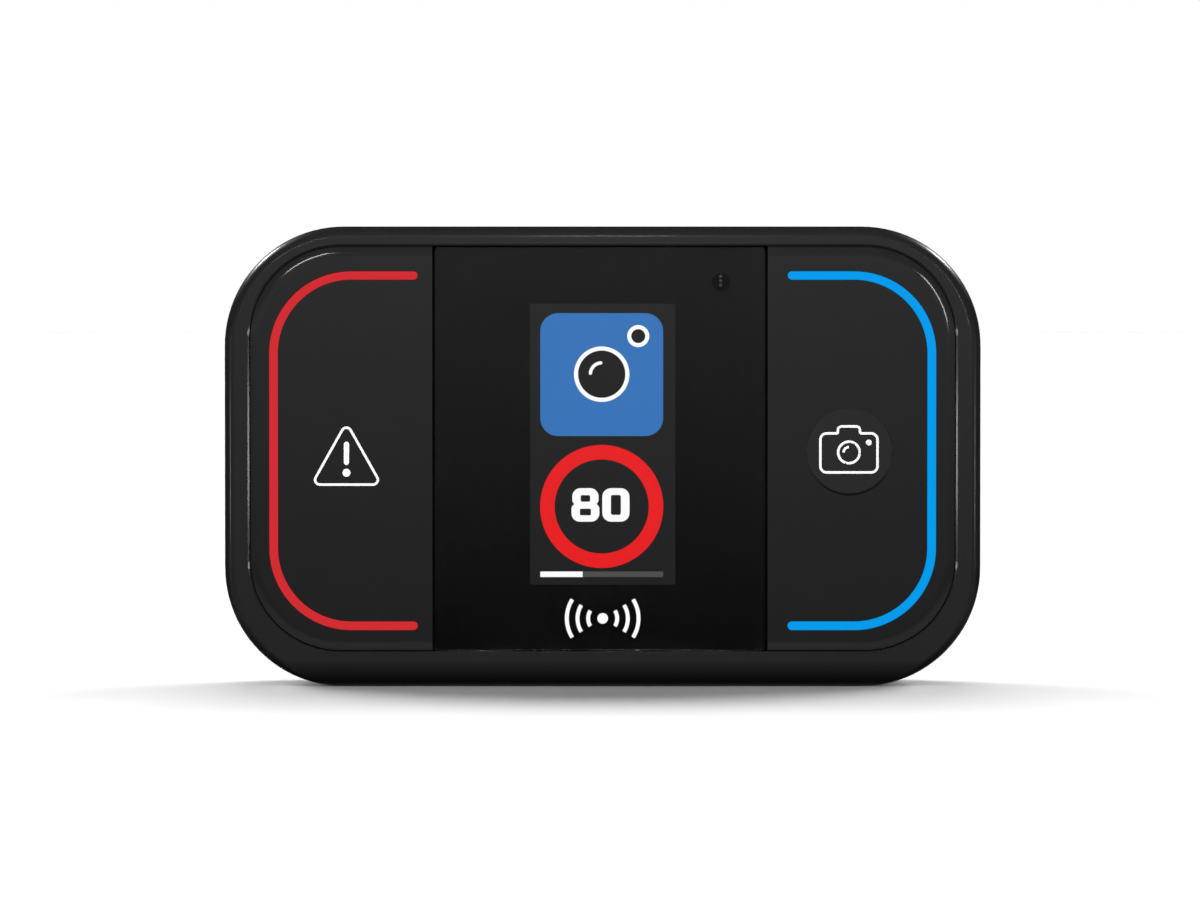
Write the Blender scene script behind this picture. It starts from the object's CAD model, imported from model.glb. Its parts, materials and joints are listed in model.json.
"""Looks of the dashboard traffic alarm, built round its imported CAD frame.

Shapes are worked out in millimetres, with X to the viewer's right, Y to the back and Z up,
and are scaled to metres when their piece is made.
"""

import json
from math import cos, pi, radians, sin, sqrt

import bmesh
import bpy
from mathutils import Matrix, Vector

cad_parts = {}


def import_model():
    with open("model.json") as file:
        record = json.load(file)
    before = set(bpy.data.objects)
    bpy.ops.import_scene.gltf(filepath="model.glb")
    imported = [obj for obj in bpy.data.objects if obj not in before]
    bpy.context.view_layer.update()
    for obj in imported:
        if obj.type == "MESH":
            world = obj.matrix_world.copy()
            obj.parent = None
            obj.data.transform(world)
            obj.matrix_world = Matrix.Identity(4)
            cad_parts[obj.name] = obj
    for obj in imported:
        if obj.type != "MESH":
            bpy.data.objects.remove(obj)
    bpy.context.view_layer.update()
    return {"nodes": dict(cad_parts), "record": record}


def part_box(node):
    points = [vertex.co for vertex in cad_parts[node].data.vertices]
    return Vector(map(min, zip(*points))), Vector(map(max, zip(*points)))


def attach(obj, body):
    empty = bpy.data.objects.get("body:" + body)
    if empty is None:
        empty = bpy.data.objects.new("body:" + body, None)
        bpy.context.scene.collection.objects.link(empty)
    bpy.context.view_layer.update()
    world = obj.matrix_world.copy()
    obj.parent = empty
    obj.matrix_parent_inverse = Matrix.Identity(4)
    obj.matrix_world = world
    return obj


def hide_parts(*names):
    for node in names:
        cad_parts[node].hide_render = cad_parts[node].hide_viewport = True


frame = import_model()

MM = 0.001
CORNER_STEPS = 24  # flats in each quarter of an outline's corner
SIDE_STEPS = 6  # stretches along each straight side of an outline
ROUND_STEPS = 8  # flats in each quarter of a rounded edge
DISC_STEPS = 72  # sides of a turned shape
SHARP_ANGLE = radians(32)


def mm_box(node):
    """Lowest and highest corners of a CAD node, in millimetres."""
    low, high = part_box(node)
    return low / MM, high / MM


# ---------------------------------------------------------------- sizes, in millimetres

FRAME_LOW, FRAME_HIGH = mm_box("front_frame")
LENS_LOW, LENS_HIGH = mm_box("cover_lens")
LCD_FRONT_Y = mm_box("lcd_panel")[0].y
BODY_HALF = FRAME_HIGH.x
BODY_Z = (FRAME_LOW.z, FRAME_HIGH.z)
BODY_R = 12.3
FRONT_Y = FRAME_LOW.y
SPLIT_Y = FRAME_HIGH.y
BACK_Y = mm_box("rear_cover")[1].y
FRONT_ROUND = (1.1, 1.8)  # how far the front rounding reaches in and back
CHIN_ROUND = (3.5, 3.3)  # the same for the long curve of the chin
CHIN_BLEND = 7  # how tightly the two roundings merge
RIM_STEPS = 30  # rings across the face of the rim
RIM_CROWDING = 2.2  # draws the rings together at the outer edge
SEAM = (0.15, 0.2)  # how far each half's edge at the seam is broken, in and along

RIM_SIDE = 2.6
WINDOW_HALF = BODY_HALF - RIM_SIDE
WINDOW_Z = (BODY_Z[0] + 3.7, BODY_Z[1] - 2.0)
WINDOW_R = 9.4
WINDOW_BEVEL = (0.17, 0.148)  # how far the window's edge bevel reaches out and back
LIP_Y = FRONT_Y + 1.2
CHAMBER_HALF = BODY_HALF - 1.7
CHAMBER_Z = (BODY_Z[0] + 1.7, BODY_Z[1] - 1.35)
CHAMBER_R = BODY_R - 1.6

WALL = 1.5
BACK_R = 4.0
BACK_STEPS = 14
INNER_BACK_Y = BACK_Y - 1.4
SEAT_R = 15.0
SEAT_FLOOR_Y = BACK_Y - 1.0
PLATE_POCKET_R = 14.0
MID_Z = (BODY_Z[0] + BODY_Z[1]) / 2
SPEAKER_AT = (24.0, 32.0)
GRILLE_HOLE_R = 0.45
GRILLE_PITCH = 2.2
SCREW_SPOTS = [(x, z) for x in (-31.5, 31.5) for z in (8.0, 39.5)]
COUNTERBORE_R = 1.7
SCREW_HEAD_Y = 2.9
SCREW_POST_R = 2.5
SCREW_POST_Y = -0.9
SCREW_SHAFT_R = 0.95
SEAT_WALL = 1.6
PLATE_POCKET_DEPTH = 0.8
PORT_CLEARANCE = 0.18
PORT_FLARE = 0.25
OVERLAP = 0.2  # how far an added part reaches into the one that it joins

PANEL_Y = FRONT_Y + 0.15
PANEL_INNER_X = {-1: -mm_box("left_panel")[1].x, 1: mm_box("right_panel")[0].x}
PANEL_GAP = 0.15
PANEL_EDGE = (1.1, 14.0)  # how far the panel's eased edge reaches, and its end slope in degrees
PANEL_SKIN = 1.2
PANEL_WALL = 1.3
FLANGE_Y = (FRONT_Y + 1.3, FRONT_Y + 2.05)
FLANGE = 0.4
PAD_AT = (25.42, BODY_Z[1] - 23.1)
PAD_R = 4.6
PAD_H = 0.11  # height of the pad's middle
PAD_TILT = 1.25  # lean of the pad in degrees, which brings its lower edge forward
PAD_EDGE = (0.22, 0.2)  # how far the pad's edge chamfer reaches in and back

HINGE = (18.35, FRONT_Y + 2.9)
LUG_R = 0.75
LUG_SPANS = [(10.5, 13.5), (35.5, 38.5)]
PIN_HOLE_R = 0.43
SWITCH_AT = (26.0, 24.0)
BOSS_R = 0.8
BOSS_TIP_Y = -4.0

STRIP_X = WINDOW_HALF - 2.5
STRIP_MID_Z = (WINDOW_Z[0] + WINDOW_Z[1]) / 2 - 0.2
STRIP_HALF_H = 18.05
STRIP_R = 8.0
STRIP_END_X = 19.5
STRIP_W = 0.85
STRIP_Y = (PANEL_Y - 0.08, PANEL_Y + 0.9)
STRIP_FOOT_Y = PANEL_Y + 2.4
STRIP_FOOT_PITCH = 7.8
STRIP_FOOT_HALF = 2
GROOVE_GAP = 0.02
GROOVE_BEVEL = 0.06
STRIP_FEET = [  # x, z and whether the foot runs along X
    (STRIP_X, STRIP_MID_Z - STRIP_FOOT_PITCH, False),
    (STRIP_X, STRIP_MID_Z, False),
    (STRIP_X, STRIP_MID_Z + STRIP_FOOT_PITCH, False),
    (23.0, STRIP_MID_Z + STRIP_HALF_H, True),
    (23.0, STRIP_MID_Z - STRIP_HALF_H, True),
]

SCREEN_HALF = 7.5
SCREEN_Z = (BODY_Z[1] - 36.95, BODY_Z[1] - 7.95)
SCREEN_LAYER = 0.03  # thickness of each drawn layer
SCREEN_GLOW = 1.08
SENSOR_AT = (12.15, BODY_Z[1] - 5.7)
SENSOR_R = 0.93
SENSOR_EDGE = 0.02
DOME_R = 0.17
DOME_H = 0.06
DOME_PITCH = 0.45
LENS_CORNER_R = 0.4
LENS_EDGE = 0.05


# ---------------------------------------------------------------- mesh helpers

def new_piece(name, points, faces):
    """Mesh object in millimetres, not yet finished."""
    mesh = bpy.data.meshes.new(name)
    mesh.from_pydata([tuple(p) for p in points], [], faces)
    work = bmesh.new()
    work.from_mesh(mesh)
    bmesh.ops.remove_doubles(work, verts=work.verts, dist=1e-4)
    bmesh.ops.dissolve_degenerate(work, edges=work.edges, dist=1e-5)
    bmesh.ops.recalc_face_normals(work, faces=work.faces)
    work.to_mesh(mesh)
    work.free()
    piece = bpy.data.objects.new(name, mesh)
    bpy.context.scene.collection.objects.link(piece)
    return piece


def skin(name, rings, looped=False, caps=False):
    """Surface through rings of equally many points; looped joins the last ring to the first."""
    count = len(rings[0])
    last = len(rings) if looped else len(rings) - 1
    faces = []
    for i in range(last):
        here, there = i * count, (i + 1) % len(rings) * count
        for k in range(count):
            n = (k + 1) % count
            faces.append((here + k, here + n, there + n, there + k))
    if caps:
        faces.append(tuple(range(count)))
        faces.append(tuple(range(len(rings) * count - 1, (len(rings) - 1) * count - 1, -1)))
    return new_piece(name, [p for ring in rings for p in ring], faces)


def outline(half, z, r):
    """Points (x, z) round a rounded rectangle, equally many whatever its size."""
    low, high = z[0] + r, z[1] - r
    corners = [(half - r, high), (r - half, high), (r - half, low), (half - r, low)]
    points = []
    for quarter, (x, z_mid) in enumerate(corners):
        for k in range(CORNER_STEPS + 1):
            a = pi / 2 * (quarter + k / CORNER_STEPS)
            points.append((x + r * cos(a), z_mid + r * sin(a)))
        turn = pi / 2 * (quarter + 1)
        x_next, z_next = corners[(quarter + 1) % 4]
        start = points[-1]
        end = (x_next + r * cos(turn), z_next + r * sin(turn))
        for k in range(1, SIDE_STEPS):
            points.append(mixed(start, end, k / SIDE_STEPS))
    return points


def mixed(a, b, share):
    return tuple(p + (q - p) * share for p, q in zip(a, b))


def ring_at(points, y):
    return [(x, y, z) for x, z in points]


def quarter_round(reach, depth, steps=ROUND_STEPS):
    """(inset, depth) pairs from a flat face round to the wall beside it."""
    return [(reach * (1 - sin(a)), depth * (1 - cos(a)))
            for a in (pi / 2 * k / steps for k in range(steps + 1))]


def eased_edge(reach, slope, steps=ROUND_STEPS):
    """(inset, depth) pairs of a shallow arc from a flat face down to a slope in degrees."""
    angles = [radians(slope) * k / steps for k in range(steps + 1)]
    return [(reach * (1 - sin(a) / sin(angles[-1])), reach * (1 - cos(a)) / sin(angles[-1]))
            for a in angles]


def slab(name, half, z, r, profile):
    """Solid on a rounded-rectangle plan; profile lists (inset, y) from face to face."""
    rings = [ring_at(outline(half - inset, (z[0] + inset, z[1] - inset), max(r - inset, 0.02)), y)
             for inset, y in profile]
    return skin(name, rings, caps=True)


def turned(name, at, profile, steps=DISC_STEPS):
    """Solid turned about an axis along Y at (x, z); profile lists (radius, y)."""
    rings = [[(at[0] + r * cos(2 * pi * k / steps), y, at[1] + r * sin(2 * pi * k / steps))
              for k in range(steps)] for r, y in profile]
    return skin(name, rings, caps=True)


def box(name, low, high):
    corners = [(x, y, z) for x in (low[0], high[0]) for y in (low[1], high[1])
               for z in (low[2], high[2])]
    faces = [(0, 1, 3, 2), (4, 6, 7, 5), (0, 4, 5, 1), (2, 3, 7, 6), (0, 2, 6, 4), (1, 5, 7, 3)]
    return new_piece(name, corners, faces)


def joined(pieces, name="cutter"):
    """One object that holds several pieces' meshes."""
    work = bmesh.new()
    for piece in pieces:
        work.from_mesh(piece.data)
        bpy.data.objects.remove(piece)
    mesh = bpy.data.meshes.new(name)
    work.to_mesh(mesh)
    work.free()
    whole = bpy.data.objects.new(name, mesh)
    bpy.context.scene.collection.objects.link(whole)
    return whole


def stroke(name, path, profile, end_steps=12):
    """Bar with round ends along a path of (x, z); profile lists (half width, y)."""
    lines = [Vector(p) for p in path]
    normals = []
    for i in range(len(lines)):
        along = lines[min(i + 1, len(lines) - 1)] - lines[max(i - 1, 0)]
        normals.append(Vector((-along.y, along.x)).normalized())
    rings = []
    for half, y in profile:
        ring = [p + n * half for p, n in zip(lines, normals)]
        for end, n, side in ((lines[-1], normals[-1], 1), (lines[0], normals[0], -1)):
            for k in range(1, end_steps):
                a = pi * k / end_steps
                turned_normal = Matrix.Rotation(-a, 2) @ (n * side)
                ring.append(end + turned_normal * half)
            if side == 1:
                ring += [p - n * half for p, n in reversed(list(zip(lines, normals)))]
        rings.append([(p.x, y, p.y) for p in ring])
    return skin(name, rings)


def arc(centre, r, start, end, steps=CORNER_STEPS):
    """Points (x, z) along an arc, with angles in degrees."""
    return [(centre[0] + r * cos(radians(start + (end - start) * k / steps)),
             centre[1] + r * sin(radians(start + (end - start) * k / steps)))
            for k in range(steps + 1)]


def rounded_loop(corners, steps=8):
    """Closed outline through corners (x, z, radius), each one rounded."""
    points = []
    count = len(corners)
    for i in range(count):
        here = Vector(corners[i][:2])
        back = (Vector(corners[i - 1][:2]) - here).normalized()
        ahead = (Vector(corners[(i + 1) % count][:2]) - here).normalized()
        half_angle = back.angle(ahead) / 2
        r = corners[i][2]
        reach = r / abs(sin(half_angle)) * cos(half_angle)
        centre = here + (back + ahead).normalized() * (r / sin(half_angle))
        first, final = here + back * reach - centre, here + ahead * reach - centre
        swing = first.angle_signed(final)
        for k in range(steps + 1):
            p = centre + Matrix.Rotation(-swing * k / steps, 2) @ first
            points.append((p.x, p.y))
    return points


def flat(name, loops, y):
    """Plate between two depths, outlined by the first loop and pierced by the others."""
    curve = bpy.data.curves.new(name, "CURVE")
    curve.dimensions = "2D"
    curve.fill_mode = "BOTH"
    curve.extrude = (y[1] - y[0]) / 2
    for loop in loops:
        spline = curve.splines.new("POLY")
        spline.points.add(len(loop) - 1)
        spline.use_cyclic_u = True
        for point, (x, z) in zip(spline.points, loop):
            point.co = (x, z, 0, 1)
    source = bpy.data.objects.new(name, curve)
    bpy.context.scene.collection.objects.link(source)
    bpy.context.view_layer.update()
    mesh = bpy.data.meshes.new_from_object(source.evaluated_get(
        bpy.context.evaluated_depsgraph_get()))
    bpy.data.objects.remove(source)
    stand = Matrix.Translation((0, (y[0] + y[1]) / 2, 0)) @ Matrix.Rotation(pi / 2, 4, "X")
    points = [stand @ v.co for v in mesh.vertices]
    return new_piece(name, points, [tuple(f.vertices) for f in mesh.polygons])


def combine(piece, tool, operation="DIFFERENCE"):
    """Cuts tool out of piece, or joins it on, and uses tool up."""
    change = piece.modifiers.new("combine", "BOOLEAN")
    change.operation = operation
    change.solver = "EXACT"
    change.object = tool
    bpy.context.view_layer.update()
    mesh = bpy.data.meshes.new_from_object(piece.evaluated_get(
        bpy.context.evaluated_depsgraph_get()))
    piece.modifiers.clear()
    piece.data = mesh
    bpy.data.objects.remove(tool)


def keep_beyond(piece, x):
    """Cuts a closed piece at a plane and keeps the side with the larger X."""
    work = bmesh.new()
    work.from_mesh(piece.data)
    cut = bmesh.ops.bisect_plane(work, geom=work.verts[:] + work.edges[:] + work.faces[:],
                                 plane_co=(x, 0, 0), plane_no=(-1, 0, 0), clear_outer=True)
    edges = [e for e in cut["geom_cut"] if isinstance(e, bmesh.types.BMEdge)]
    bmesh.ops.holes_fill(work, edges=edges)
    bmesh.ops.recalc_face_normals(work, faces=work.faces)
    work.to_mesh(piece.data)
    work.free()
    return piece


def mirrored(piece):
    piece.data.transform(Matrix.Scale(-1, 4, (1, 0, 0)))
    piece.data.flip_normals()


def finished(piece, body, slot, stands_for=(), material=None):
    """Scales a piece to metres, shades it smooth between its edges and lets it ride."""
    piece.data.transform(Matrix.Scale(MM, 4))
    piece.data.shade_smooth()
    piece.data.set_sharp_from_angle(angle=SHARP_ANGLE)
    even = piece.modifiers.new("even_shading", "WEIGHTED_NORMAL")
    even.keep_sharp = True
    piece.data.materials.clear()
    piece.data.materials.append(material or materials[slot])
    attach(piece, body)
    if stands_for:
        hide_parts(*stands_for)


# ---------------------------------------------------------------- materials

class Shader:
    """Short way to build a node material."""

    def __init__(self, name):
        self.material = bpy.data.materials.new(name)
        self.material.use_nodes = True
        self.tree = self.material.node_tree
        self.main = self.tree.nodes["Principled BSDF"]
        self.place = self.add("ShaderNodeTexCoord").outputs["Object"]

    def add(self, kind, **values):
        node = self.tree.nodes.new(kind)
        for key, value in values.items():
            setattr(node, key, value)
        return node

    def feed(self, socket, value):
        if isinstance(value, bpy.types.NodeSocket):
            self.tree.links.new(value, socket)
        else:
            socket.default_value = value

    def noise(self, size_mm, detail=3.0, stretch=None):
        """Noise from 0 to 1 whose blotches are about size_mm wide."""
        vector = self.place
        if stretch:
            mapped = self.add("ShaderNodeMapping")
            self.feed(mapped.inputs["Vector"], self.place)
            self.feed(mapped.inputs["Scale"], stretch)
            vector = mapped.outputs["Vector"]
        node = self.add("ShaderNodeTexNoise")
        self.feed(node.inputs["Vector"], vector)
        self.feed(node.inputs["Scale"], 1 / (size_mm * MM))
        self.feed(node.inputs["Detail"], detail)
        return node.outputs["Fac"]

    def spread(self, fac, low, high):
        """Maps a value around a half to a range."""
        node = self.add("ShaderNodeMapRange")
        self.feed(node.inputs["Value"], fac)
        self.feed(node.inputs["From Min"], 0.25)
        self.feed(node.inputs["From Max"], 0.75)
        self.feed(node.inputs["To Min"], low)
        self.feed(node.inputs["To Max"], high)
        return node.outputs["Result"]

    def tone(self, color, fac, spread):
        """Colour that gets darker and lighter with fac."""
        node = self.add("ShaderNodeMix", data_type="RGBA")
        darker = [c * (1 - spread) for c in color[:3]] + [1]
        lighter = [min(c * (1 + spread), 1) for c in color[:3]] + [1]
        self.feed(node.inputs["Factor"], fac)
        self.feed(node.inputs[6], darker)
        self.feed(node.inputs[7], lighter)
        return node.outputs[2]

    def rubbed(self, roughness, polish):
        """Lowers a roughness by a share along raised edges."""
        edge = self.add("ShaderNodeMapRange")
        self.feed(edge.inputs["Value"], self.add("ShaderNodeNewGeometry").outputs["Pointiness"])
        self.feed(edge.inputs["From Min"], 0.51)
        self.feed(edge.inputs["From Max"], 0.56)
        self.feed(edge.inputs["To Min"], 1.0)
        self.feed(edge.inputs["To Max"], 1.0 - polish)
        node = self.add("ShaderNodeMath", operation="MULTIPLY")
        self.feed(node.inputs[0], roughness)
        self.feed(node.inputs[1], edge.outputs["Result"])
        return node.outputs[0]

    def bump(self, height, depth_mm):
        node = self.add("ShaderNodeBump")
        self.feed(node.inputs["Height"], height)
        self.feed(node.inputs["Distance"], depth_mm * MM)
        self.feed(self.main.inputs["Normal"], node.outputs["Normal"])

    def sockets(self, **values):
        for key, value in values.items():
            self.feed(self.main.inputs[key.replace("_", " ")], value)


def moulded(name, color, roughness, grain=0.09, depth=0.004, mottle=0.08, polish=0.0, **more):
    """Moulded or painted plastic, rubber or ceramic with a fine grain.

    polish is how much smoother than the rest hands have rubbed its raised edges.
    """
    shader = Shader(name)
    shader.feed(shader.main.inputs["Base Color"], shader.tone(color, shader.noise(3.0), mottle))
    surface = shader.spread(shader.noise(1.2), roughness * 0.9, min(roughness * 1.12, 1))
    if polish:
        surface = shader.rubbed(surface, polish)
    shader.feed(shader.main.inputs["Roughness"], surface)
    shader.bump(shader.noise(grain, 2.0), depth)
    shader.sockets(**more)
    return shader.material


def metal(name, color, roughness, stretch=(1, 1, 14)):
    """Metal with fine drawn or brushed lines."""
    shader = Shader(name)
    lines = shader.noise(0.25, 4.0, stretch)
    shader.feed(shader.main.inputs["Base Color"], shader.tone(color, lines, 0.1))
    shader.feed(shader.main.inputs["Roughness"],
                shader.spread(lines, roughness * 0.8, roughness * 1.25))
    shader.bump(lines, 0.002)
    shader.sockets(Metallic=1.0)
    return shader.material


def glowing(name, color, strength, roughness=0.3, ripple=0.02, gloss=0.08):
    """Light guide or lit screen element: its own light under a clear skin."""
    shader = Shader(name)
    tone = shader.tone(color, shader.noise(5.0), ripple)
    shader.feed(shader.main.inputs["Emission Color"], tone)
    shader.sockets(Base_Color=[c * 0.03 for c in color[:3]] + [1],
                   Emission_Strength=strength, Specular_IOR_Level=gloss)
    shader.feed(shader.main.inputs["Roughness"],
                shader.spread(shader.noise(0.6), roughness * 0.9, roughness * 1.1))
    shader.bump(shader.noise(0.12, 2.0), 0.0015)
    return shader.material


def clear(name, roughness, ior=1.49, tint=(1, 1, 1, 1)):
    """Clear plastic with faint flow marks in its polish."""
    shader = Shader(name)
    shader.feed(shader.main.inputs["Roughness"],
                shader.spread(shader.noise(4.0), roughness * 0.7, roughness * 1.3))
    shader.bump(shader.noise(9.0, 1.0), 0.0004)
    shader.sockets(Base_Color=tint, IOR=ior, Transmission_Weight=1.0)
    return shader.material


def woven(name, color):
    """Fine woven mesh or taped film."""
    pitch = 0.16
    band = 0.314  # width of one band of the wave texture at a scale of 1
    shader = Shader(name)
    threads = []
    for axis in ("X", "Z"):
        wave = shader.add("ShaderNodeTexWave", bands_direction=axis)
        shader.feed(wave.inputs["Vector"], shader.place)
        shader.feed(wave.inputs["Scale"], band / (pitch * MM))
        threads.append(wave.outputs["Fac"])
    weave = shader.add("ShaderNodeMath", operation="MAXIMUM")
    shader.feed(weave.inputs[0], threads[0])
    shader.feed(weave.inputs[1], threads[1])
    shader.feed(shader.main.inputs["Base Color"], shader.tone(color, weave.outputs[0], 0.5))
    shader.feed(shader.main.inputs["Roughness"], shader.spread(shader.noise(0.8), 0.7, 0.9))
    shader.bump(weave.outputs[0], 0.02)
    return shader.material


def linear(red, green, blue):
    """Colour in the shaders' own scale from screen values of 0 to 255."""
    def one(value):
        share = value / 255
        return share / 12.92 if share <= 0.04045 else ((share + 0.055) / 1.055) ** 2.4
    return [one(red), one(green), one(blue), 1]


def slot_materials():
    """One finished material for each slot of the record."""
    base = {m["slot"]: list(m["base_color"]) + [1] for m in frame["record"]["materials"]}
    made = {
        "lens_glass": clear("polished_lens", 0.02),
        "clear_guide": clear("clear_guide", 0.12, tint=(0.85, 0.9, 0.92, 1)),
        "tape": woven("woven_tape", base["tape"]),
        "red_guide": glowing("red_guide", linear(206, 44, 50), 1.0),
        "blue_guide": glowing("blue_guide", linear(4, 152, 232), 1.0),
        "backlight": moulded("backlight_film", base["backlight"], 0.5, 0.3, 0.002),
        "display_glass": moulded("display_glass", base["display_glass"], 0.12, 0.5, 0.0005),
        "board_green": moulded("board_green", base["board_green"], 0.3, 0.5, 0.004, 0.25),
        "flex_film": moulded("flex_film", base["flex_film"], 0.25, 1.0, 0.004, 0.15),
        "lamp_yellow": moulded("lamp_package", base["lamp_yellow"], 0.3, 0.2, 0.002),
        "ceramic_brown": moulded("ceramic_chip", base["ceramic_brown"], 0.5, 0.1, 0.003, 0.15),
        "foam": moulded("closed_foam", base["foam"], 0.9, 0.25, 0.05, 0.3),
        "wire_red": moulded("red_insulation", base["wire_red"], 0.45, 0.3, 0.002),
        "wire_black": moulded("black_insulation", base["wire_black"], 0.45, 0.3, 0.002),
        "speaker_plastic": moulded("basket_casting", base["speaker_plastic"], 0.55, 0.15, 0.01),
        "cone_film": moulded("cone_film", base["cone_film"], 0.35, 0.4, 0.006),
        "steel": metal("drawn_steel", base["steel"], 0.32),
        "screw_steel": metal("blackened_steel", base["screw_steel"], 0.38),
        "cell_foil": metal("pouch_foil", base["cell_foil"], 0.42, (2, 2, 2)),
        "gold_spring": metal("gold_plating", base["gold_spring"], 0.22),
    }
    made["mask_ink"] = moulded("mask_ink", base["mask_ink"], 0.6, 0.5, 0.0, Specular_IOR_Level=0)
    made["housing_black"] = moulded("housing_black", base["housing_black"], 0.36, polish=0.2,
                                    Specular_IOR_Level=0.3, Coat_Weight=0.3, Coat_Roughness=0.1)
    made["panel_black"] = moulded("panel_black", base["panel_black"], 0.45,
                                  Specular_IOR_Level=0.08, Coat_Weight=1.0, Coat_Roughness=0.08)
    plain = {"chassis_plastic": 0.6, "white_ink": 0.55, "socket_plastic": 0.45,
             "switch_plastic": 0.4, "chip_black": 0.55}
    for slot, roughness in plain.items():
        made[slot] = moulded(slot, base[slot], roughness)
    return made


materials = slot_materials()


# ---------------------------------------------------------------- housing

def depth_inside(x, z):
    """How far a point lies inside the body's outline."""
    out_x = abs(x) - (BODY_HALF - BODY_R)
    out_z = abs(z - MID_Z) - ((BODY_Z[1] - BODY_Z[0]) / 2 - BODY_R)
    corner = sqrt(max(out_x, 0) ** 2 + max(out_z, 0) ** 2)
    return BODY_R - corner - min(max(out_x, out_z), 0)


def fall(depth, rounding):
    """How far back a rounded edge has fallen at some depth in from its side."""
    reach, back = rounding
    share = 1 - min(max(depth, 0) / reach, 1)
    return back * (1 - sqrt(1 - share * share))


def rim_y(x, z):
    """Face of the rim: the front rounding, blended with the long curve of the chin."""
    edge = fall(depth_inside(x, z), FRONT_ROUND)
    chin = fall(z - BODY_Z[0], CHIN_ROUND)
    return FRONT_Y + (edge ** CHIN_BLEND + chin ** CHIN_BLEND) ** (1 / CHIN_BLEND)


def body_outline(inset=0.0):
    return outline(BODY_HALF - inset, (BODY_Z[0] + inset, BODY_Z[1] - inset), BODY_R - inset)


def window_outline(grow=0.0):
    return outline(WINDOW_HALF + grow, (WINDOW_Z[0] - grow, WINDOW_Z[1] + grow), WINDOW_R + grow)


def front_shell():
    """Front half of the housing: a rounded rim round the window, its lip and its wall."""
    outer, inner = body_outline(), window_outline(WINDOW_BEVEL[0])
    rings = [ring_at(body_outline(SEAM[0]), SPLIT_Y), ring_at(outer, SPLIT_Y - SEAM[1])]
    for k in range(RIM_STEPS + 1):
        share = (k / RIM_STEPS) ** RIM_CROWDING
        points = [mixed(a, b, share) for a, b in zip(outer, inner)]
        rings.append([(x, rim_y(x, z), z) for x, z in points])
    window, chamber = window_outline(), outline(CHAMBER_HALF, CHAMBER_Z, CHAMBER_R)
    rings += [ring_at(window, FRONT_Y + WINDOW_BEVEL[1]), ring_at(window, LIP_Y),
              ring_at(chamber, LIP_Y), ring_at(chamber, SPLIT_Y)]
    finished(skin("front_rim_shell", rings, looped=True), "root", "housing_black",
             ["front_frame"])


def drill(at, r, floor_y, chamfer=0.12):
    """Cutter for a round hole from a floor out through the back face, its edge broken."""
    return turned("cutter", at, [(r, floor_y), (r, BACK_Y - chamfer), (r + chamfer, BACK_Y),
                                 (r + chamfer, BACK_Y + 1)], 56)


def grille_spots():
    """Centres of the speaker's sound holes: one in the middle and two rings round it."""
    spots = [SPEAKER_AT]
    for ring in (1, 2):
        for k in range(6 * ring):
            a = radians(60 * k / ring)
            spots.append((SPEAKER_AT[0] + GRILLE_PITCH * ring * cos(a),
                          SPEAKER_AT[1] + GRILLE_PITCH * ring * sin(a)))
    return spots


def port_cutter():
    """Stadium through the right wall for the charging plug, a little wider outside."""
    low, high = mm_box("port_shell")
    mid_y, mid_z = (low.y + high.y) / 2, (low.z + high.z) / 2
    r = (high.y - low.y) / 2 + PORT_CLEARANCE
    half = (high.z - low.z) / 2 - (high.y - low.y) / 2
    rings = []
    for x, grow in ((BODY_HALF - 3, 0), (BODY_HALF - PORT_FLARE, 0), (BODY_HALF, PORT_FLARE),
                    (BODY_HALF + 1, PORT_FLARE)):
        ends = arc((0, half), r + grow, 0, 180) + arc((0, -half), r + grow, 180, 360)
        rings.append([(x, mid_y + y, mid_z + z) for y, z in ends])
    return skin("cutter", rings, caps=True)


def rear_shell():
    """Back half of the housing: a tub with the mount seat, screw wells, grille and port."""
    edge = quarter_round(BACK_R, BACK_R, BACK_STEPS)[::-1]
    inner_r = BACK_R - WALL
    piece = slab("rear_tub_shell", BODY_HALF, BODY_Z, BODY_R,
                 [(SEAM[0], SPLIT_Y), (0, SPLIT_Y + SEAM[1])] + [(i, BACK_Y - d) for i, d in edge])
    hollow = slab("cutter", BODY_HALF - WALL, (BODY_Z[0] + WALL, BODY_Z[1] - WALL), BODY_R - WALL,
                  [(0, SPLIT_Y - 1)] + [(i * inner_r / BACK_R, INNER_BACK_Y - d * inner_r / BACK_R)
                                        for i, d in edge])
    combine(piece, hollow)
    pad_end = BACK_Y - 0.5
    pads = [turned("pad", (0, MID_Z), [(SEAT_R + SEAT_WALL, SEAT_FLOOR_Y - SEAT_WALL),
                                       (SEAT_R + SEAT_WALL, pad_end)])]
    pads += [turned("pad", at, [(SCREW_POST_R, SCREW_POST_Y), (SCREW_POST_R, pad_end)])
             for at in SCREW_SPOTS]
    for pad in pads:
        combine(piece, pad, "UNION")
    cutters = [drill((0, MID_Z), SEAT_R, SEAT_FLOOR_Y, 0.25), port_cutter()]
    cutters += [drill(at, COUNTERBORE_R, SCREW_HEAD_Y) for at in SCREW_SPOTS]
    cutters += [drill(at, GRILLE_HOLE_R, INNER_BACK_Y - 0.5, 0.1) for at in grille_spots()]
    combine(piece, joined(cutters))
    pocket = turned("cutter", (0, MID_Z), [(PLATE_POCKET_R, SEAT_FLOOR_Y - PLATE_POCKET_DEPTH),
                                           (PLATE_POCKET_R, SEAT_FLOOR_Y + 0.1)])
    shafts = [turned("cutter", at, [(SCREW_SHAFT_R, -2), (SCREW_SHAFT_R, SCREW_HEAD_Y + 0.1)], 32)
              for at in SCREW_SPOTS]
    combine(piece, joined([pocket] + shafts))
    finished(piece, "root", "housing_black", ["rear_cover"])


# ---------------------------------------------------------------- push panels

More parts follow.
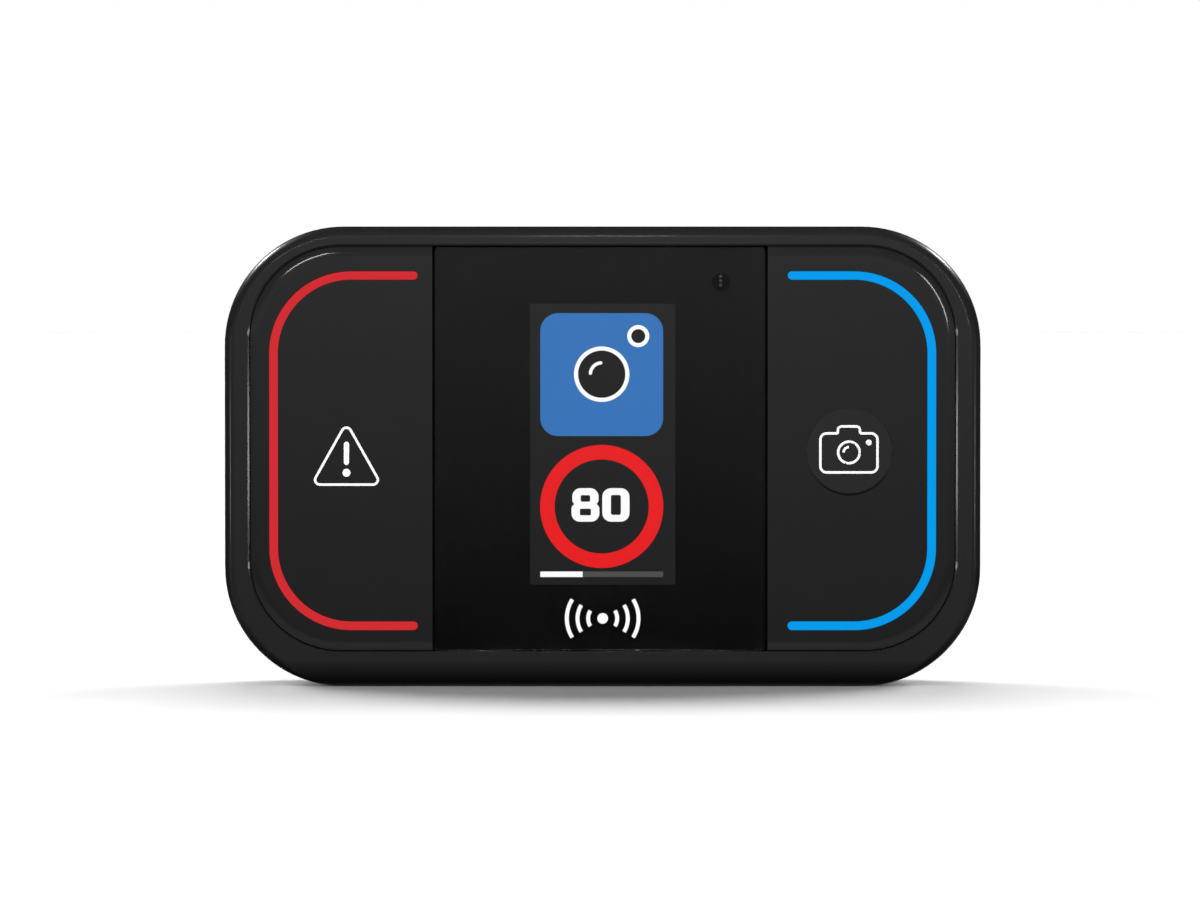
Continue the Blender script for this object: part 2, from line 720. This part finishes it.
def strip_path():
    """Middle line of the C-shaped light strip on the right."""
    top, bottom = STRIP_MID_Z + STRIP_HALF_H, STRIP_MID_Z - STRIP_HALF_H
    x = STRIP_X - STRIP_R
    return ([(STRIP_END_X, top)] + arc((x, top - STRIP_R), STRIP_R, 90, 0)
            + arc((x, bottom + STRIP_R), STRIP_R, 0, -90) + [(STRIP_END_X, bottom)])


def strip_foot_boxes(grow, y):
    across, along = STRIP_W / 2 + grow, STRIP_FOOT_HALF + grow
    for x, z, flat_run in STRIP_FEET:
        half_x, half_z = (along, across) if flat_run else (across, along)
        yield box("foot", (x - half_x, y[0], z - half_z), (x + half_x, y[1], z + half_z))


def rod_z(at, r, z, steps=40):
    """Round bar along Z at (x, y)."""
    rings = [[(at[0] + r * cos(2 * pi * k / steps), at[1] + r * sin(2 * pi * k / steps), height)
              for k in range(steps)] for height in z]
    return skin("rod", rings, caps=True)


def panel_blank(inner_x):
    """Outside of a push panel, drawn for the right, with a crisp edge beside the lens."""
    half = WINDOW_HALF - PANEL_GAP
    z = (WINDOW_Z[0] + PANEL_GAP, WINDOW_Z[1] - PANEL_GAP)
    out = FLANGE + PANEL_GAP
    profile = [(inset, PANEL_Y + depth) for inset, depth in eased_edge(*PANEL_EDGE, 12)]
    profile += [(0, FLANGE_Y[0]), (-out, FLANGE_Y[0]), (-out, FLANGE_Y[1])]
    return keep_beyond(slab("blank", half, z, WINDOW_R - PANEL_GAP, profile), inner_x)


def push_panel(side):
    """Push panel with its groove, hinge lugs and switch boss; the right one has a pad."""
    piece = panel_blank(PANEL_INNER_X[side])
    inset = PANEL_GAP + PANEL_WALL
    pocket = slab("cutter", WINDOW_HALF - inset, (WINDOW_Z[0] + inset, WINDOW_Z[1] - inset),
                  WINDOW_R - inset, [(0, PANEL_Y + PANEL_SKIN), (0, FLANGE_Y[1] + 1)])
    combine(piece, keep_beyond(pocket, PANEL_INNER_X[side] + PANEL_WALL))
    root_y = PANEL_Y + PANEL_SKIN - OVERLAP
    for z in LUG_SPANS:
        lug = box("lug", (HINGE[0] - LUG_R, root_y, z[0]), (HINGE[0] + LUG_R, HINGE[1], z[1]))
        combine(lug, rod_z(HINGE, LUG_R - 0.001, z), "UNION")
        combine(piece, lug, "UNION")
    boss = turned("boss", SWITCH_AT, [(BOSS_R, root_y),
                                      (BOSS_R, BOSS_TIP_Y - 0.1), (BOSS_R - 0.1, BOSS_TIP_Y)])
    combine(piece, boss, "UNION")
    if side > 0:
        pad = turned("pad", (0, 0), [(PAD_R - PAD_EDGE[0], 0), (PAD_R, PAD_EDGE[1]),
                                     (PAD_R, 0.5)], 120)
        pad.data.transform(Matrix.Translation((PAD_AT[0], PANEL_Y - PAD_H, PAD_AT[1]))
                           @ Matrix.Rotation(-radians(PAD_TILT), 4, "X"))
        combine(piece, pad, "UNION")
    groove, floor_y = STRIP_W / 2 + GROOVE_GAP, STRIP_Y[1] + GROOVE_GAP
    mouth = groove + GROOVE_BEVEL
    cut = stroke("cutter", strip_path(), [(0, PANEL_Y - 1), (mouth, PANEL_Y - 1),
                                          (mouth, PANEL_Y - 0.01), (groove, PANEL_Y + GROOVE_BEVEL),
                                          (groove, floor_y), (0, floor_y)])
    combine(piece, cut)
    holes = list(strip_foot_boxes(GROOVE_GAP, (STRIP_Y[1] - 0.1, FLANGE_Y[1] + 1)))
    holes += [rod_z(HINGE, PIN_HOLE_R, (z[0] - 0.5, z[1] + 0.5)) for z in LUG_SPANS]
    combine(piece, joined(holes))
    name, body, node = (("right_push_face", "right_button", "right_panel") if side > 0
                        else ("left_push_face", "left_button", "left_panel"))
    piece.name = name
    if side < 0:
        mirrored(piece)
    finished(piece, body, "panel_black", [node])


def light_strip(side):
    """C-shaped light guide with a crowned face and a foot over each lamp."""
    half, edge = STRIP_W / 2, 0.07
    profile = [(0, STRIP_Y[0])] + [(half - inset, STRIP_Y[0] + depth)
                                   for inset, depth in quarter_round(edge, edge, 5)]
    profile += [(half, STRIP_Y[1]), (0, STRIP_Y[1])]
    piece = stroke("strip", strip_path(), profile)
    combine(piece, joined(list(strip_foot_boxes(0, (STRIP_Y[1] - 0.1, STRIP_FOOT_Y)))), "UNION")
    name, body, slot, node = (
        ("right_strip_guide", "right_button", "blue_guide", "right_light_strip") if side > 0
        else ("left_strip_guide", "left_button", "red_guide", "left_light_strip"))
    piece.name = name
    if side < 0:
        mirrored(piece)
    finished(piece, body, slot, [node])


# ---------------------------------------------------------------- lens and display

def gloss_lens():
    """Clear cover lens; the mask behind it makes it black."""
    half, mid = (LENS_HIGH.x - LENS_LOW.x) / 2, (LENS_HIGH.x + LENS_LOW.x) / 2
    profile = [(inset, LENS_LOW.y + depth)
               for inset, depth in quarter_round(LENS_EDGE, LENS_EDGE, 4)]
    profile.append((0, LENS_HIGH.y - 0.005))
    piece = slab("gloss_lens", half, (LENS_LOW.z, LENS_HIGH.z), LENS_CORNER_R, profile)
    piece.data.transform(Matrix.Translation((mid, 0, 0)))
    finished(piece, "root", "lens_glass", ["cover_lens"])


def round_square(centre, half, r):
    x, z = centre
    return rounded_loop([(x - half, z - half, r), (x + half, z - half, r),
                         (x + half, z + half, r), (x - half, z + half, r)], 12)


def circle(centre, r, steps=96):
    return arc(centre, r, 0, 360 * (steps - 1) / steps, steps - 1)


def digit_eight(x, z, height):
    """Outer loop and two holes of a bold, squarish 8 with its lower left corner at (x, z)."""
    wide, narrow = 1.44, 1.355  # half widths of the lower and upper halves
    waist, waist_half, waist_run = z + height * 0.525, 1.13, 0.25
    corner_r, shoulder_r, hole_r = 0.85, 0.5, 0.14
    mid = x + wide
    right = [(wide, z, corner_r), (wide, waist - waist_run, shoulder_r), (waist_half, waist, 0.1),
             (narrow, waist + waist_run, shoulder_r), (narrow, z + height, corner_r)]
    loop = [(mid + dx, dz, r) for dx, dz, r in right]
    loop += [(mid - dx, dz, r) for dx, dz, r in reversed(right)]
    holes = [[(mid - half, low, hole_r), (mid + half, low, hole_r),
              (mid + half, high, hole_r), (mid - half, high, hole_r)]
             for half, low, high in ((0.57, z + 0.66, z + 1.34), (0.485, z + 2.06, z + 2.74))]
    return [rounded_loop(loop)] + [rounded_loop(hole) for hole in holes]


def digit_zero(x, z, height):
    """Outer loop and hole of a bold, squarish 0."""
    width, side, bar = 2.81, 0.89, 0.7  # whole width, width of the uprights, height of the bars

    def loop(inset_x, inset_z, r):
        low, high = (x + inset_x, z + inset_z), (x + width - inset_x, z + height - inset_z)
        return rounded_loop([(low[0], low[1], r), (high[0], low[1], r),
                             (high[0], high[1], r), (low[0], high[1], r)])

    return [loop(0, 0, 0.9), loop(side, bar, 0.2)]


def lit_piece(piece, color):
    """Finishes one layer of the display's picture, which gives its own light."""
    finished(piece, "root", "display_glass",
             material=glowing(piece.name, color, SCREEN_GLOW, 0.5, 0.0, 0.0))


def screen_picture():
    """What the display shows: a camera sign, a round sign with a number, a progress bar."""
    tile_half, tile_mid = 6.34, (-0.1, SCREEN_Z[0] + 21.675)
    ring_mid = (-0.1, SCREEN_Z[0] + 8.06)
    lens_mid = (tile_mid[0], tile_mid[1] + 0.045)
    spot_mid = (lens_mid[0] + 3.77, lens_mid[1] + 3.93)
    bar = (SCREEN_Z[0] + 0.77, SCREEN_Z[0] + 1.34)
    bar_x = (tile_mid[0] - tile_half, tile_mid[0] + tile_half)
    bar_end = bar_x[0] + 0.345 * 2 * tile_half
    digits_z, digits_h = SCREEN_Z[0] + 6.49, 3.46
    field_half, field_z = SCREEN_HALF + 0.1, (SCREEN_Z[0] - 0.1, SCREEN_Z[1] + 0.1)
    white, ink = linear(250, 250, 250), linear(28, 28, 29)

    def bar_loop(x0, x1):
        return [(x0, bar[0]), (x1, bar[0]), (x1, bar[1]), (x0, bar[1])]

    layers = [
        ("screen_field", linear(29, 29, 30), 0,
         [[(-field_half, field_z[0]), (field_half, field_z[0]),
           (field_half, field_z[1]), (-field_half, field_z[1])]]),
        ("screen_tile", linear(52, 112, 180), 1, [round_square(tile_mid, tile_half, 1.85)]),
        ("screen_lens_ring", white, 2, [circle(lens_mid, 2.86), circle(lens_mid, 2.44)]),
        ("screen_lens_disc", ink, 2, [circle(lens_mid, 2.43)]),
        ("screen_spot_ring", white, 2, [circle(spot_mid, 1.14), circle(spot_mid, 0.72)]),
        ("screen_spot_disc", ink, 2, [circle(spot_mid, 0.71)]),
        ("screen_limit_ring", linear(227, 28, 31), 1,
         [circle(ring_mid, 6.36), circle(ring_mid, 4.86)]),
        ("screen_eight", white, 1, digit_eight(-3.22, digits_z, digits_h)),
        ("screen_zero", white, 1, digit_zero(-0.04, digits_z, digits_h)),
        ("screen_bar", white, 1, [bar_loop(bar_x[0], bar_end)]),
        ("screen_bar_rest", linear(77, 77, 77), 1, [bar_loop(bar_end + 0.01, bar_x[1])]),
    ]
    for name, color, level, loops in layers:
        y = LCD_FRONT_Y - SCREEN_LAYER * (level + 1)
        lit_piece(flat(name, loops, (y, y + SCREEN_LAYER)), color)
    glint_r, glint_half = 1.17, 0.17
    low_y = LCD_FRONT_Y - SCREEN_LAYER * 4
    high_y = low_y + SCREEN_LAYER
    glint = stroke("screen_glint", arc(lens_mid, glint_r, 175, 95, 16),
                   [(0, low_y), (glint_half, low_y), (glint_half, high_y), (0, high_y)])
    lit_piece(glint, white)


def sensor_eyes():
    """Light sensor's window on the lens: a dark matt disc with three small domes."""
    face = LENS_LOW.y - SCREEN_LAYER
    window = turned("sensor_window", SENSOR_AT,
                    [(SENSOR_R, LENS_LOW.y), (SENSOR_R, face + SENSOR_EDGE),
                     (SENSOR_R - SENSOR_EDGE, face)])
    finished(window, "root", "mask_ink",
             material=moulded("sensor_window", linear(17, 17, 17), 0.8, Specular_IOR_Level=0.1))
    domes = []
    for k in (-1, 0, 1):
        at = (SENSOR_AT[0], SENSOR_AT[1] + DOME_PITCH * k + 0.1)
        domes.append(turned("dome", at, [(DOME_R * cos(a), face - DOME_H * sin(a)) for a in
                                         (pi / 2 * i / 6 for i in range(6))], 28))
    finished(joined(domes, "sensor_domes"), "root", "clear_guide",
             material=moulded("sensor_dome", linear(56, 56, 56), 0.5, Specular_IOR_Level=0.1))


# ---------------------------------------------------------------- CAD pieces that stay

BROKEN_EDGE = 0.05
WELD_DISTANCE = 0.002
UNBEVELLED = {"hazard_print", "camera_print", "emblem_print", "lens_mask", "lens_tape",
              "mount_plate_tape", "speaker_mesh", "battery_red_lead", "battery_black_lead"}


def dress_cad_nodes():
    """Gives every CAD node its material, broken edges and even shading."""
    for part in frame["record"]["subparts"]:
        node = frame["nodes"][part["node"]]
        node.data.materials.clear()
        node.data.materials.append(materials[part["material_slot"]])
        weld = node.modifiers.new("weld", "WELD")
        weld.merge_threshold = WELD_DISTANCE * MM
        if part["node"] not in UNBEVELLED:
            bevel = node.modifiers.new("broken_edges", "BEVEL")
            bevel.width = BROKEN_EDGE * MM
            bevel.segments = 2
            bevel.limit_method = "ANGLE"
            bevel.angle_limit = radians(40)
        even = node.modifiers.new("even_shading", "WEIGHTED_NORMAL")
        even.keep_sharp = True


def port_contacts():
    """Gold contacts on both faces of the charging port's tongue."""
    low, high = mm_box("port_tongue")
    count, pitch, width, thick = 12, 0.5, 0.26, 0.03
    inner_end, outer_end = high.x - 4.2, high.x - 0.5
    bars = []
    for k in range(count):
        z = (low.z + high.z) / 2 + (k - (count - 1) / 2) * pitch
        for y in (low.y - thick, high.y):
            bars.append(box("contact", (inner_end, y, z - width / 2),
                            (outer_end, y + thick, z + width / 2)))
    finished(joined(bars, "port_contacts"), "root", "gold_spring")


# ---------------------------------------------------------------- studio

def camera():
    """Long lens straight on to the front and a little above it."""
    lens, sensor, view_width, lift = 200.0, 36.0, 123.57, radians(1.7)
    aim = Vector((-0.275, FRONT_Y, 24.49))
    distance = view_width * lens / sensor
    data = bpy.data.cameras.new("camera")
    data.lens, data.sensor_width = lens, sensor
    data.clip_start, data.clip_end = 0.01, 20
    eye = bpy.data.objects.new("camera", data)
    bpy.context.scene.collection.objects.link(eye)
    eye.location = (aim + distance * Vector((0, -cos(lift), sin(lift)))) * MM
    eye.rotation_euler = (pi / 2 - lift, 0, 0)
    bpy.context.scene.camera = eye


def floor():
    """Plain white table."""
    half = 3000.0
    plane = new_piece("floor", [(-half, -half, 0), (half, -half, 0), (half, half, 0),
                                (-half, half, 0)], [(0, 1, 2, 3)])
    plane.data.transform(Matrix.Scale(MM, 4))
    plane.data.materials.append(moulded("floor_white", [0.25, 0.25, 0.25, 1], 0.9, 2.0, 0.0, 0.002,
                                        Specular_IOR_Level=0))
    plane.visible_glossy = False
    plane.visible_diffuse = False
    plane.visible_transmission = False
    return plane


def add_lamp(name, kind, place, aim, power):
    data = bpy.data.lights.new(name, kind)
    data.energy = power
    lamp = bpy.data.objects.new(name, data)
    bpy.context.scene.collection.objects.link(lamp)
    lamp.location = Vector(place) * MM
    lamp.rotation_euler = (Vector(aim) - Vector(place)).to_track_quat("-Z", "Y").to_euler()
    lamp.visible_camera = False
    return lamp


def lit_only(lamp, group):
    lamp.light_linking.receiver_collection = group


def polar(azimuth, elevation, distance=600.0):
    """Place seen from the body's middle; azimuth 0 is in front, 90 to the right."""
    a, e = radians(azimuth), radians(elevation)
    return Vector((distance * sin(a) * cos(e), -distance * cos(a) * cos(e),
                   MID_Z + distance * sin(e)))


def panel_light(name, place, size, power, group, diffuse=True, glossy=True, roll=0.0):
    """Rectangular lamp turned to the body's middle, which lights the object only."""
    lamp = add_lamp(name, "AREA", place, (0, 0, MID_Z), power)
    lamp.rotation_euler.rotate_axis("Z", radians(roll))
    lamp.data.shape = "RECTANGLE"
    lamp.data.size, lamp.data.size_y = size[0] * MM, size[1] * MM
    lamp.visible_diffuse, lamp.visible_glossy = diffuse, glossy
    lit_only(lamp, group)


def lights(table):
    """Four suns and two small fills light the table; soft panels light the object."""
    table_only = bpy.data.collections.new("table_only")
    table_only.objects.link(table)
    for name, azimuth, elevation, power, spread in (
            ("table_left", -130, 20, 14, 40), ("table_right", 130, 20, 14, 40),
            ("table_behind", 180, 60, 3, 30), ("table_front", 0, 45, 1.4, 40)):
        sun = add_lamp(name, "SUN", polar(azimuth, elevation), (0, 0, MID_Z), power)
        sun.data.angle = radians(spread)
        lit_only(sun, table_only)
    for side, name in ((-1, "left"), (1, "right")):
        fill = add_lamp(name + "_table_fill", "POINT", (60 * side, -40, 40), (0, 0, 0), 0.1)
        fill.data.shadow_soft_size = 10 * MM
        lit_only(fill, table_only)
    not_table = bpy.data.collections.new("not_table")
    not_table.objects.link(table)
    not_table.collection_objects[0].light_linking.link_state = "EXCLUDE"
    panel_light("key", Vector((0, -170, 130)), (160, 60), 0.6, not_table, glossy=False)
    panel_light("top_line", Vector((0, -78, 72)), (16, 4), 0.005, not_table, diffuse=False)
    panel_light("left_corner", polar(-10.6, 13.6), (86, 14), 0.085, not_table, diffuse=False,
                roll=35)
    panel_light("right_corner", polar(16.0, 6.6), (86, 14), 0.085, not_table, diffuse=False,
                roll=-62)
    for side, name in ((-1, "left"), (1, "right")):
        panel_light(name + "_back", polar(139 * side, 33), (90, 90), 1.2, not_table,
                    diffuse=False)
        panel_light(name + "_side", polar(75.8 * side, -1.75, 250), (10, 18), 0.014, not_table,
                    diffuse=False)


def world():
    """White to the camera, and a graded studio all round for the object."""
    sky = bpy.data.worlds.new("studio")
    bpy.context.scene.world = sky
    sky.use_nodes = True
    tree = sky.node_tree
    nodes, links = tree.nodes, tree.links
    nodes.clear()
    direction = nodes.new("ShaderNodeSeparateXYZ")
    links.new(nodes.new("ShaderNodeTexCoord").outputs["Generated"], direction.inputs[0])
    rays = nodes.new("ShaderNodeLightPath")

    def ramp(axis, stops):
        node = nodes.new("ShaderNodeValToRGB")
        shift = nodes.new("ShaderNodeMapRange")
        shift.inputs["From Min"].default_value = -1
        links.new(direction.outputs[axis], shift.inputs["Value"])
        links.new(shift.outputs["Result"], node.inputs["Fac"])
        elements = node.color_ramp.elements
        while len(elements) < len(stops):
            elements.new(0.5)
        for element, (at, value) in zip(elements, stops):
            element.position = (at + 1) / 2
            element.color = (value, value, value, 1)
        return node.outputs["Color"]

    def mix_colors(how, fac, a, b):
        node = nodes.new("ShaderNodeMix")
        node.data_type = "RGBA"
        node.blend_type = how
        sockets = node.inputs["Factor"], node.inputs[6], node.inputs[7]
        for socket, value in zip(sockets, (fac, a, b)):
            if isinstance(value, bpy.types.NodeSocket):
                links.new(value, socket)
            else:
                socket.default_value = value
        return node.outputs[2]

    # each stop is a direction's share along the axis and its brightness
    height = ramp("Z", [(-1, 0.03), (-0.6, 0.1), (-0.38, 0.28), (-0.22, 0.22), (-0.11, 0.02),
                        (-0.0655, 0.01), (-0.0015, 0.19), (0.017, 0.27), (0.06, 0.2), (0.12, 0.07),
                        (0.3, 0.02), (0.6, 0.01)])
    facing = ramp("Y", [(-1, 1.0), (-0.1, 0.9), (0.6, 0.35), (1, 0.25)])
    studio = mix_colors("MULTIPLY", 1, height, facing)
    color = mix_colors("MIX", rays.outputs["Is Camera Ray"], studio, (1, 1, 1, 1))
    background = nodes.new("ShaderNodeBackground")
    links.new(color, background.inputs["Color"])
    output = nodes.new("ShaderNodeOutputWorld")
    links.new(background.outputs[0], output.inputs["Surface"])
    bpy.context.scene.view_settings.view_transform = "Standard"


# ---------------------------------------------------------------- build

dress_cad_nodes()
front_shell()
rear_shell()
for hand in (-1, 1):
    push_panel(hand)
    light_strip(hand)
gloss_lens()
screen_picture()
sensor_eyes()
port_contacts()
camera()
lights(floor())
world()
